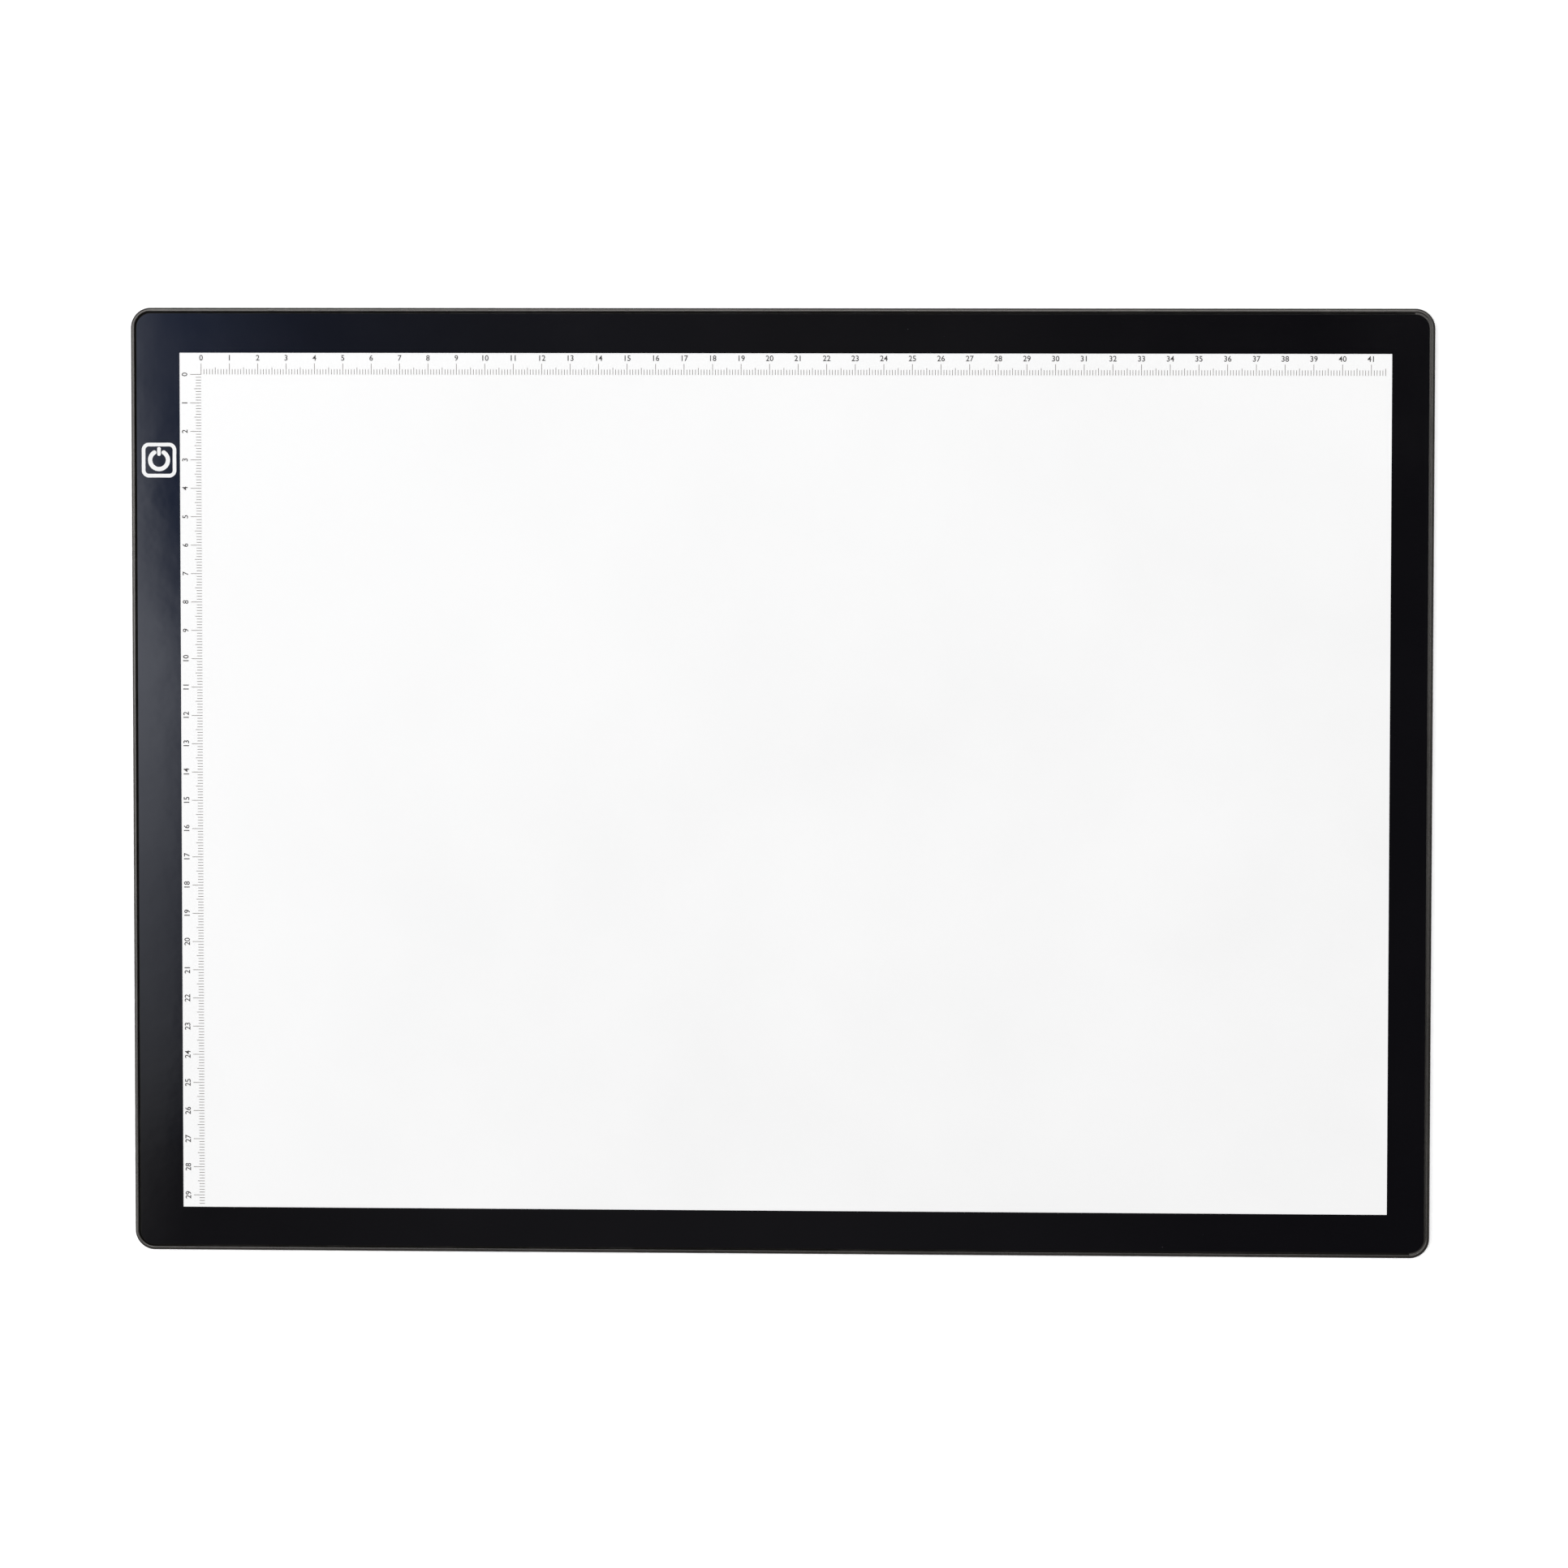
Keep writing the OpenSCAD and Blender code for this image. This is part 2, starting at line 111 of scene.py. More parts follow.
def pick_edges(piece, wanted):
    """Leaves the piece in edit mode with only the wanted edges selected. wanted gets an edge's two ends."""
    make_active(piece)
    bpy.ops.object.mode_set(mode="EDIT")
    bpy.ops.mesh.select_mode(type="EDGE")
    bpy.ops.mesh.select_all(action="DESELECT")
    bpy.ops.object.mode_set(mode="OBJECT")
    points = piece.data.vertices
    for edge in piece.data.edges:
        edge.select = wanted(points[edge.vertices[0]].co, points[edge.vertices[1]].co)
    bpy.ops.object.mode_set(mode="EDIT")


def inset_of(point):
    """How far a point lies inside the pad's rounded outline."""
    out_x = max(abs(point.x) - (pad_w / 2 - corner_r), 0)
    out_y = max(abs(point.y) - (pad_d / 2 - corner_r), 0)
    return corner_r - math.hypot(out_x, out_y)


def on_loop(a, b, z, inset):
    """True where an edge lies at height z, at that inset from the outline."""
    return all(abs(p.z - z) < hair and abs(inset_of(p) - inset) < 2 * hair for p in (a, b))


def rounded_plate(name, low_z, high_z, inset):
    """A plate of the pad's outline, drawn in by inset all round."""
    bpy.ops.object.select_all(action="DESELECT")
    bpy.ops.mesh.primitive_plane_add(size=1, location=(0, 0, low_z))
    bpy.context.object.scale = (pad_w - 2 * inset, pad_d - 2 * inset, 1)
    plate = name_new(name)
    bpy.ops.object.mode_set(mode="EDIT")
    bpy.ops.mesh.bevel(offset=corner_r - inset, segments=corner_steps, affect="VERTICES")
    bpy.ops.mesh.select_all(action="SELECT")
    bpy.ops.mesh.extrude_region_move(TRANSFORM_OT_translate={"value": (0, 0, high_z - low_z)})
    bpy.ops.mesh.select_all(action="SELECT")
    bpy.ops.mesh.normals_make_consistent(inside=False)
    bpy.ops.object.mode_set(mode="OBJECT")
    return plate


def sink_face(piece, z, up, inset, depth):
    """Sinks the large flat face at height z, leaving a margin of inset round it."""
    flat_at_z = lambda f: abs(f.center.z - z) < hair and f.normal.z * up > 0.9
    pick_faces(piece, lambda f: flat_at_z(f) and len(f.vertices) > 4)
    bpy.ops.mesh.inset(thickness=inset, use_even_offset=True)
    bpy.ops.mesh.extrude_region_move(TRANSFORM_OT_translate={"value": (0, 0, -up * depth)})
    bpy.ops.object.mode_set(mode="OBJECT")


def round_edges(piece, wanted, radius, steps):
    pick_edges(piece, wanted)
    bpy.ops.mesh.bevel(offset=radius, segments=steps, affect="EDGES", clamp_overlap=False)
    bpy.ops.object.mode_set(mode="OBJECT")


def cut_away(piece, waste):
    """Cuts the waste out of the piece and throws it away."""
    make_active(piece)
    cut = piece.modifiers.new("cut", "BOOLEAN")
    cut.operation = "DIFFERENCE"
    cut.solver = "EXACT"
    cut.object = waste
    bpy.ops.object.modifier_apply(modifier=cut.name)
    bpy.data.objects.remove(waste)


def smooth_piece(piece, angle=30):
    """Smooth shading over the roundings, with the flat faces kept flat."""
    make_active(piece)
    bpy.ops.object.shade_smooth_by_angle(angle=math.radians(angle))
    weigh = piece.modifiers.new("flats", "WEIGHTED_NORMAL")
    weigh.keep_sharp = True
    bpy.ops.object.modifier_apply(modifier=weigh.name)


pad_frame = rounded_plate("pad_frame", base_z, rim_top, 0)
sink_face(pad_frame, rim_top, 1, rim_w, groove_depth)
groove_z = rim_top - groove_depth
sink_face(pad_frame, groove_z, 1, panel_inset - kerb_gap - rim_w, groove_z - ledge_top)
sink_face(pad_frame, base_z, -1, wall_t, cover_top - base_z)
round_edges(pad_frame, lambda a, b: on_loop(a, b, rim_top, 0), rim_round, 6)
round_edges(pad_frame, lambda a, b: on_loop(a, b, rim_top, rim_w), rim_inner_round, 3)
round_edges(pad_frame, lambda a, b: on_loop(a, b, base_z, 0), base_round, 6)

inner_w = pad_w / 2 - ledge_reach
inner_d = pad_d / 2 - ledge_reach
cut_away(pad_frame, add_block("middle_waste", (-inner_w, -inner_d, 0), (inner_w, inner_d, 2 * rim_top)))

board_low, board_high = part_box("control_board")
bay_low = (wall_t - pad_w / 2, board_low.y - bay_gap, 0)
bay_high = (hair - inner_w, board_high.y + bay_gap, ledge_top + hair)
cut_away(pad_frame, add_block("bay_waste", bay_low, bay_high))

# The opening for the USB plug, with its mouth widened by a chamfer
usb_low, usb_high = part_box("usb_shell")
shell_half_w = 3.75 * MM
mouth_gap = 0.2 * MM
mouth_chamfer = 0.35 * MM
mouth_corner = 0.6 * MM
usb_middle = (usb_low + usb_high) / 2
mouth_half_w = shell_half_w + mouth_gap
mouth_half_h = (usb_high.z - usb_low.z) / 2 + mouth_gap


def usb_mouth_waste(name, spread, low_x, high_x):
    waste = add_block(
        name,
        (low_x, usb_middle.y - mouth_half_w - spread, usb_middle.z - mouth_half_h - spread),
        (high_x, usb_middle.y + mouth_half_w + spread, usb_middle.z + mouth_half_h + spread),
    )
    round_edges(waste, lambda a, b: abs(a.x - b.x) > hair, mouth_corner + spread, 5)
    return waste


cut_away(pad_frame, usb_mouth_waste("mouth_waste", 0, -pad_w / 2 - 1 * MM, -pad_w / 2 + wall_t + 0.1 * MM))
flare = usb_mouth_waste("flare_waste", 0, -pad_w / 2 - mouth_chamfer, -pad_w / 2 + mouth_chamfer)
pick_faces(flare, lambda f: f.normal.x < -0.9)
flare_y = 1 + 2 * mouth_chamfer / mouth_half_w
flare_z = 1 + 2 * mouth_chamfer / mouth_half_h
bpy.ops.transform.resize(value=(1, flare_y, flare_z))
bpy.ops.object.mode_set(mode="OBJECT")
cut_away(pad_frame, flare)
smooth_piece(pad_frame)


# Every finish is a material with one Principled shader. An effect that several finishes share is a node group
# that puts out a height, a tone or a mask.
def new_finish(name):
    finish = bpy.data.materials.new(name)
    finish.use_nodes = True
    shader = finish.node_tree.nodes["Principled BSDF"]
    place = finish.node_tree.nodes.new("ShaderNodeTexCoord")
    return finish, finish.node_tree, shader, place.outputs["Object"]


def new_group(name, inputs, outputs):
    """A shader node group with a Vector input, number inputs, given as name and value, and number outputs."""
    group = bpy.data.node_groups.new(name, "ShaderNodeTree")
    group.interface.new_socket("Vector", in_out="INPUT", socket_type="NodeSocketVector")
    for label, value in inputs.items():
        socket = group.interface.new_socket(label, in_out="INPUT", socket_type="NodeSocketFloat")
        socket.default_value = value
    for label in outputs:
        group.interface.new_socket(label, in_out="OUTPUT", socket_type="NodeSocketFloat")
    entry = group.nodes.new("NodeGroupInput")
    leave = group.nodes.new("NodeGroupOutput")
    return group, entry.outputs, leave.inputs


def use_group(tree, group, place, **values):
    """Places a group in a material. A value's name is its socket's, with _ for a space."""
    node = tree.nodes.new("ShaderNodeGroup")
    node.node_tree = group
    tree.links.new(place, node.inputs["Vector"])
    for label, value in values.items():
        node.inputs[label.replace("_", " ")].default_value = value
    return node.outputs


def feed(tree, value, socket):
    """Links a socket, or sets a plain value."""
    if isinstance(value, bpy.types.NodeSocket):
        tree.links.new(value, socket)
    else:
        socket.default_value = value


def math_node(tree, operation, a, b=0.0, c=0.0, clamp=False):
    node = tree.nodes.new("ShaderNodeMath")
    node.operation = operation
    node.use_clamp = clamp
    for value, socket in zip((a, b, c), node.inputs):
        feed(tree, value, socket)
    return node.outputs["Value"]


def noise_node(tree, place, scale, detail=2.0, rough=0.5):
    node = tree.nodes.new("ShaderNodeTexNoise")
    node.inputs["Detail"].default_value = detail
    node.inputs["Roughness"].default_value = rough
    feed(tree, place, node.inputs["Vector"])
    feed(tree, scale, node.inputs["Scale"])
    return node.outputs["Fac"]


def map_range(tree, value, low, high, to_low, to_high):
    node = tree.nodes.new("ShaderNodeMapRange")
    labels = ("Value", "From Min", "From Max", "To Min", "To Max")
    for number, label in zip((value, low, high, to_low, to_high), labels):
        feed(tree, number, node.inputs[label])
    return node.outputs["Result"]


def blend_colours(tree, mask, first, second):
    """The first colour where the mask is 0 and the second where it is 1."""
    node = tree.nodes.new("ShaderNodeMix")
    node.data_type = "RGBA"
    feed(tree, mask, node.inputs["Factor"])
    sockets = [socket for socket in node.inputs if socket.type == "RGBA"]
    for value, socket in zip((first, second), sockets):
        feed(tree, value if isinstance(value, bpy.types.NodeSocket) else (*value, 1.0), socket)
    return next(socket for socket in node.outputs if socket.type == "RGBA")


def bump_from(tree, shader, height, distance):
    node = tree.nodes.new("ShaderNodeBump")
    node.inputs["Distance"].default_value = distance
    tree.links.new(height, node.inputs["Height"])
    tree.links.new(node.outputs["Normal"], shader.inputs["Normal"])


# Spark-eroded grain: rounded bumps of one size that run into each other
mould_grain, g_in, g_out = new_group("Mould grain", {"Grain Size": 0.4 * MM}, ["Height", "Tone"])
grain_scale = math_node(mould_grain, "DIVIDE", 1.0, g_in["Grain Size"])
coarse = noise_node(mould_grain, g_in["Vector"], grain_scale, 1.0)
fine = noise_node(mould_grain, g_in["Vector"], math_node(mould_grain, "MULTIPLY", grain_scale, 2.7), 2.0)
mixed = math_node(mould_grain, "MULTIPLY_ADD", coarse, 0.65, math_node(mould_grain, "MULTIPLY", fine, 0.35))
mould_grain.links.new(mixed, g_out["Height"])
mould_grain.links.new(map_range(mould_grain, mixed, 0.35, 0.65, 0.0, 1.0), g_out["Tone"])

# Handling: soft patches where the surface has been touched and wiped
handling, g_in, g_out = new_group("Handling", {"Patch Size": 60 * MM}, ["Mask"])
patch_scale = math_node(handling, "DIVIDE", 1.0, g_in["Patch Size"])
patches = noise_node(handling, g_in["Vector"], patch_scale, 4.0, 0.6)
handling.links.new(map_range(handling, patches, 0.35, 0.7, 0.0, 1.0), g_out["Mask"])

# Rubbed edge: the grain is polished and paler close to a given height, in broken stretches
rub_inputs = {"Edge Height": 0.0, "Reach": 1 * MM, "Stretch": 20 * MM}
rubbed_edge, g_in, g_out = new_group("Rubbed edge", rub_inputs, ["Mask"])
split = rubbed_edge.nodes.new("ShaderNodeSeparateXYZ")
rubbed_edge.links.new(g_in["Vector"], split.inputs["Vector"])
above_edge = math_node(rubbed_edge, "SUBTRACT", split.outputs["Z"], g_in["Edge Height"])
away = math_node(rubbed_edge, "ABSOLUTE", above_edge)
near = map_range(rubbed_edge, math_node(rubbed_edge, "DIVIDE", away, g_in["Reach"]), 0.0, 1.0, 1.0, 0.0)
stretch_scale = math_node(rubbed_edge, "DIVIDE", 1.0, g_in["Stretch"])
stretches = noise_node(rubbed_edge, g_in["Vector"], stretch_scale, 6.0, 0.7)
broken = map_range(rubbed_edge, stretches, 0.48, 0.62, 0.0, 1.0)
rubbed_edge.links.new(math_node(rubbed_edge, "MULTIPLY", near, broken), g_out["Mask"])

# Dust: small specks, each in its own cell
dust_specks, g_in, g_out = new_group("Dust specks", {"Spacing": 6 * MM, "Speck Size": 0.1 * MM}, ["Mask"])
cells = dust_specks.nodes.new("ShaderNodeTexVoronoi")
feed(dust_specks, g_in["Vector"], cells.inputs["Vector"])
feed(dust_specks, math_node(dust_specks, "DIVIDE", 1.0, g_in["Spacing"]), cells.inputs["Scale"])
speck_reach = math_node(dust_specks, "DIVIDE", g_in["Speck Size"], g_in["Spacing"])
from_speck = math_node(dust_specks, "DIVIDE", cells.outputs["Distance"], speck_reach)
dust_specks.links.new(map_range(dust_specks, from_speck, 0.6, 1.0, 1.0, 0.0), g_out["Mask"])


def share_tone(tree, first, share, second):
    """A tone made up of a share of the first effect and the rest of the second."""
    return math_node(tree, "MULTIPLY_ADD", first, share, math_node(tree, "MULTIPLY", second, 1 - share))


def overlay(tree, mask, strength, under, over):
    """Lays a second colour over the first where the mask is 1, at the given strength."""
    return blend_colours(tree, math_node(tree, "MULTIPLY", mask, strength), under, over)


def vary_roughness(tree, shader, effect, change, roughness):
    """Roughness that goes up by change, or down when it is negative, where the effect is 1."""
    tree.links.new(math_node(tree, "MULTIPLY_ADD", effect, change, roughness), shader.inputs["Roughness"])


def moulded_finish(name, dark, light, worn, grain_size, grain_depth, roughness, rub_height, rub_reach):
    """Black ABS with a spark-eroded grain, polished paler where hands and tables rub it."""
    finish, tree, shader, place = new_finish(name)
    grain = use_group(tree, mould_grain, place, Grain_Size=grain_size)
    patches = use_group(tree, handling, place, Patch_Size=70 * MM)["Mask"]
    rub = use_group(tree, rubbed_edge, place, Edge_Height=rub_height, Reach=rub_reach, Stretch=18 * MM)
    specks = use_group(tree, dust_specks, place, Spacing=7 * MM, Speck_Size=0.12 * MM)["Mask"]
    body = blend_colours(tree, share_tone(tree, grain["Tone"], 0.6, patches), dark, light)
    rubbed = overlay(tree, rub["Mask"], 0.6, body, worn)
    tree.links.new(overlay(tree, specks, 0.35, rubbed, (0.3, 0.28, 0.26)), shader.inputs["Base Color"])
    handled = math_node(tree, "MULTIPLY_ADD", patches, 0.06, roughness)
    vary_roughness(tree, shader, rub["Mask"], -0.06, handled)
    shader.inputs["IOR"].default_value = 1.52
    shader.inputs["Specular Tint"].default_value = (1.0, 0.97, 0.93, 1.0)
    bump_from(tree, shader, grain["Height"], grain_depth)
    return finish


frame_finish = moulded_finish(
    "moulded black ABS", (0.011, 0.0095, 0.008), (0.017, 0.015, 0.0135), (0.045, 0.042, 0.039),
    0.35 * MM, 0.007 * MM, 0.20, rim_top, 1.2 * MM,
)
# The narrow groove gets a darker, duller and less reflective finish, which is painted shade for the deep
# recess, but for its right side, which keeps the rim's finish
groove_painted_shade = moulded_finish(
    "groove painted shade", (0.004, 0.0035, 0.003), (0.008, 0.007, 0.006), (0.02, 0.019, 0.018),
    0.35 * MM, 0.03 * MM, 0.75, groove_z, 0.4 * MM,
)
groove_shader = groove_painted_shade.node_tree.nodes["Principled BSDF"]
groove_shader.inputs["Specular IOR Level"].default_value = 0.15
pad_frame.data.materials.append(frame_finish)
pad_frame.data.materials.append(groove_painted_shade)
# The groove's faces take the painted shade finish; those on the right side do not
for face in pad_frame.data.polygons:
    sunk = face.center.z < rim_top - rim_inner_round - hair
    on_right_side = face.center.x > pad_w / 2 - corner_r
    if sunk and rim_w - hair < inset_of(face.center) < panel_inset and not on_right_side:
        face.material_index = 1
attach(pad_frame, "root")
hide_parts("frame")


# ---- Border film ----
# A black polyester film with a high-gloss face, die-cut with the window in it and laminated to the panel.
# Its outer margin is folded down over the panel's edge.
film_low, film_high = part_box("border_film")
panel_low, panel_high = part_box("front_panel")
film_t = film_high.z - panel_high.z
fold_round = 0.03 * MM
border_left = 17.2 * MM
border_right = 15 * MM
border_rear = 15.8 * MM
border_front = 15.4 * MM
clearance = 1 * MM
window_low = Vector((border_left - pad_w / 2, border_front - pad_d / 2, panel_low.z - clearance))
window_high = Vector((pad_w / 2 - border_right, pad_d / 2 - border_rear, rim_top + clearance))

border_sheet = rounded_plate("border_sheet", film_low.z, film_high.z, panel_inset)
round_edges(border_sheet, lambda a, b: on_loop(a, b, film_high.z, panel_inset), fold_round, 4)
panel_waste = rounded_plate("panel_waste", film_low.z - clearance, panel_high.z, panel_inset + film_t)
cut_away(border_sheet, panel_waste)
cut_away(border_sheet, add_block("window_waste", window_low, window_high))
smooth_piece(border_sheet)

film_finish, tree, shader, place = new_finish("gloss black film")
film_patches = use_group(tree, handling, place, Patch_Size=45 * MM)["Mask"]
film_specks = use_group(tree, dust_specks, place, Spacing=9 * MM, Speck_Size=0.09 * MM)["Mask"]
film_body = blend_colours(tree, film_patches, (0.0038, 0.0036, 0.0048), (0.0044, 0.0041, 0.0054))
film_colour = overlay(tree, film_specks, 0.25, film_body, (0.35, 0.35, 0.36))
tree.links.new(film_colour, shader.inputs["Base Color"])
vary_roughness(tree, shader, film_specks, 0.4, math_node(tree, "MULTIPLY_ADD", film_patches, 0.02, 0.035))
shader.inputs["IOR"].default_value = 1.5
film_waves = noise_node(tree, place, 1 / (9 * MM), 2.0)
bump_from(tree, shader, film_waves, 0.004 * MM)
border_sheet.data.materials.append(film_finish)
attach(border_sheet, "root")
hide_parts("border_film")


# ---- Opal front panel ----
# A cast sheet of milky acrylic, 1.6 mm thick, that spreads the light of the guide under it.
# It glows evenly over the whole window and is taped to the frame's ledge.
opal_finish, tree, shader, place = new_finish("lit opal acrylic")
opal_cloud = use_group(tree, handling, place, Patch_Size=90 * MM)["Mask"]
opal_specks = use_group(tree, dust_specks, place, Spacing=22 * MM, Speck_Size=0.08 * MM)["Mask"]
opal_body = blend_colours(tree, opal_cloud, (0.40, 0.40, 0.40), (0.42, 0.42, 0.42))
opal_colour = overlay(tree, opal_specks, 0.3, opal_body, (0.55, 0.54, 0.52))
tree.links.new(opal_colour, shader.inputs["Base Color"])
vary_roughness(tree, shader, opal_cloud, 0.06, 0.26)
shader.inputs["IOR"].default_value = 1.49
shader.inputs["Emission Color"].default_value = (1.0, 1.0, 1.0, 1.0)
shader.inputs["Emission Strength"].default_value = 1.0
bump_from(tree, shader, noise_node(tree, place, 1 / (0.5 * MM), 2.0), 0.01 * MM)


def refinish(node, finish):
    """Gives a CAD node a new finish."""
    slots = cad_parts[node].data.materials
    slots.clear()
    slots.append(finish)


refinish("front_panel", opal_finish)


# ---- Printed scales ----
# Two centimetre scales screen-printed in grey ink on the panel: one along the rear edge of the window and one
# down its left edge. They share their zero near the rear left corner, and every centimetre has its number.
ink_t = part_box("scale_print")[1].z - panel_high.z
zero_inset = 7.6 * MM
zero = Vector((window_low.x + zero_inset, window_high.y - zero_inset, panel_high.z))
cm_tick_l = 3.9 * MM


def join_pieces(pieces, name):
    make_active(pieces[0])
    for piece in pieces[1:]:
        piece.select_set(True)
    bpy.ops.object.join()
    joined = bpy.context.object
    joined.name = name
    joined.data.name = name
    return joined


centimetre = 10 * MM
number_h = 2 * MM
digit_share = 0.72
number_gap = 0.85 * MM
number_bold = 0.04 * MM


def scale_numbers(name, step, grow, turn, last):
    """Numbers from 0 to last beyond the centimetre ticks, turned so that they read along the scale."""
    numbers = []
    for count in range(last + 1):
        bpy.ops.object.select_all(action="DESELECT")
        bpy.ops.object.text_add()
        text = bpy.context.object
        text.data.body = str(count)
        text.data.size = number_h / digit_share
        text.data.align_x = "CENTER"
        text.data.align_y = "CENTER"
        text.data.extrude = ink_t / 2
        text.data.offset = number_bold
        text.data.resolution_u = 3
        bpy.ops.object.convert(target="MESH")
        text = bpy.context.object
        text.rotation_euler = (0, 0, turn)
        text.location = zero + step * count * centimetre + grow * (cm_tick_l + number_gap + number_h / 2)
        text.location.z += ink_t / 2
        numbers.append(name_new(f"number_{count}"))
    return join_pieces(numbers, name)


rear_numbers = scale_numbers("rear_scale_numbers", Vector((1, 0, 0)), Vector((0, 1, 0)), 0, 41)
left_numbers = scale_numbers("left_scale_numbers", Vector((0, -1, 0)), Vector((-1, 0, 0)), math.pi / 2, 29)


def ink_finish(name, thin, full, roughness):
    """Screen-printed ink: a dry satin film whose cover varies a little."""
    finish, tree, shader, place = new_finish(name)
    cover = use_group(tree, mould_grain, place, Grain_Size=0.25 * MM)
    drift = use_group(tree, handling, place, Patch_Size=25 * MM)["Mask"]
    tone = share_tone(tree, cover["Tone"], 0.6, drift)
    tree.links.new(blend_colours(tree, tone, thin, full), shader.inputs["Base Color"])
    vary_roughness(tree, shader, cover["Tone"], 0.1, roughness)
    bump_from(tree, shader, cover["Height"], 0.004 * MM)
    return finish


tick_ink = ink_finish("grey scale ink", (0.20, 0.175, 0.16), (0.13, 0.115, 0.105), 0.5)
number_ink = ink_finish("dark scale ink", (0.055, 0.050, 0.050), (0.035, 0.032, 0.032), 0.5)
for numbers in (rear_numbers, left_numbers):
    numbers.data.materials.clear()
    numbers.data.materials.append(number_ink)
    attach(numbers, "root")
refinish("scale_print", tick_ink)


# ---- Power symbol ----
# The touch key's mark, screen-printed in white on the film: a rounded square round the usual broken ring and
# bar. The key has no travel, because the board under it senses a finger through the panel.
key_ink = ink_finish("white key ink", (0.93, 0.93, 0.93), (0.97, 0.97, 0.97), 0.45)
refinish("power_key_print", key_ink)


# ---- Back cover ----
# A flat plate of black ABS, 1.2 mm thick, set into the frame's underside. It has a coarse matt grain,
# shallow recesses for the feet and the label, and ten countersunk holes for the screws that hold it.
cover_low, cover_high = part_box("back_cover")
label_low, label_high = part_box("blank_label")
cover_gap = 0.2 * MM
foot_sink = 0.4 * MM
foot_r = 6 * MM
foot_inset = 22 * MM
foot_xs = [-(pad_w / 2 - foot_inset), 0.0, pad_w / 2 - foot_inset]
foot_ys = [-(pad_d / 2 - foot_inset), pad_d / 2 - foot_inset]
label_sink = 0.2 * MM
label_gap = 0.5 * MM
label_corner = 1.5 * MM
screw_r = 0.9 * MM
screw_head_r = 1.8 * MM
screw_sink = 0.1 * MM
screw_inset = 5.5 * MM
screw_reach = pad_w / 2 - 23 * MM
screw_xs = [share * screw_reach for share in (-1, -1 / 3, 1 / 3, 1)]
screw_places = [(x, side * (pad_d / 2 - screw_inset)) for side in (-1, 1) for x in screw_xs]
screw_places += [(side * (pad_w / 2 - screw_inset), 0.0) for side in (-1, 1)]
cover_edge_r = 0.25 * MM
foot_gap = 0.15 * MM


def add_turned(name, x, y, low_z, low_r, high_z, high_r, sides=64):
    """A round piece whose radius changes evenly from low_z to high_z."""
    bpy.ops.object.select_all(action="DESELECT")
    bpy.ops.mesh.primitive_cone_add(vertices=sides, radius1=low_r, radius2=high_r, depth=high_z - low_z)
    bpy.context.object.location = (x, y, (low_z + high_z) / 2)
    return name_new(name)


back_plate = rounded_plate("back_plate", cover_low.z, cover_high.z, wall_t + cover_gap)
round_edges(back_plate, lambda a, b: on_loop(a, b, cover_low.z, wall_t + cover_gap), cover_edge_r, 3)
recess_r = foot_r + foot_gap
recess_top = cover_low.z + foot_sink
waste = [add_turned("foot_waste", x, y, 0, recess_r, recess_top, recess_r) for x in foot_xs for y in foot_ys]
label_waste = add_block(
    "label_waste",
    (label_low.x - label_gap, label_low.y - label_gap, 0),
    (label_high.x + label_gap, label_high.y + label_gap, cover_low.z + label_sink),
)
round_edges(label_waste, lambda a, b: abs(a.z - b.z) > hair, label_corner, 8)
waste.append(label_waste)
head_low = cover_low.z + screw_sink
head_top = head_low + screw_head_r - screw_r
for x, y in screw_places:
    waste.append(add_turned("head_waste", x, y, 0, screw_head_r + head_low, head_top, screw_r, 48))
    waste.append(add_turned("shank_waste", x, y, head_top - 2 * hair, screw_r, 2 * cover_high.z, screw_r, 48))
for cutter in waste:
    cut_away(back_plate, cutter)
smooth_piece(back_plate)
cover_finish = moulded_finish(
    "coarse black ABS", (0.012, 0.0115, 0.0115), (0.020, 0.0195, 0.020), (0.050, 0.049, 0.048),
    0.6 * MM, 0.05 * MM, 0.5, cover_high.z, 0.15 * MM,
)
back_plate.data.materials.append(cover_finish)
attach(back_plate, "root")
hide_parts("back_cover")


# ---- Cover screws ----
# Ten small countersunk steel screws with a cross recess, black nickel plated and rubbed bright on their
# heads. They hold the cover to the frame, and each has stopped at its own angle.
screw_low, screw_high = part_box("cover_screws")
thread_pitch = 0.6 * MM
thread_depth = 0.16 * MM
thread_lead = 0.3 * MM
head_edge_r = 0.12 * MM
slot_l = 2.2 * MM
slot_w = 0.5 * MM
slot_depth = 0.7 * MM
slot_taper = 0.8
screw_turns = (12, 47, 81, 23, 66, 5, 38, 74, 55, 31)

first_screw = add_turned("first_screw", 0, 0, 0, screw_head_r, screw_head_r - screw_r, screw_r, 48)
pick_faces(first_screw, lambda f: f.normal.z > 0.9)
shank_l = screw_high.z - screw_low.z - (screw_head_r - screw_r)
thread_count = int((shank_l - thread_lead) / thread_pitch)
thread_root = 1 - thread_depth / screw_r
neck_l = shank_l - thread_count * thread_pitch
bpy.ops.mesh.extrude_region_move(TRANSFORM_OT_translate={"value": (0, 0, neck_l)})
for _ in range(thread_count):
    for squeeze in (thread_root, 1 / thread_root):
        bpy.ops.mesh.extrude_region_move(TRANSFORM_OT_translate={"value": (0, 0, thread_pitch / 2)})
        bpy.ops.transform.resize(value=(squeeze, squeeze, 1))
bpy.ops.object.mode_set(mode="OBJECT")
round_edges(first_screw, lambda a, b: abs(a.z) < hair and abs(b.z) < hair, head_edge_r, 3)
for slot_x, slot_y in ((slot_l, slot_w), (slot_w, slot_l)):
    low = (-slot_x / 2, -slot_y / 2, -clearance)
    blade = add_block("slot_waste", low, (slot_x / 2, slot_y / 2, slot_depth))
    pick_faces(blade, lambda f: f.normal.z > 0.9)
    bpy.ops.transform.resize(value=(slot_taper, slot_taper, 1))
    bpy.ops.object.mode_set(mode="OBJECT")
    cut_away(first_screw, blade)


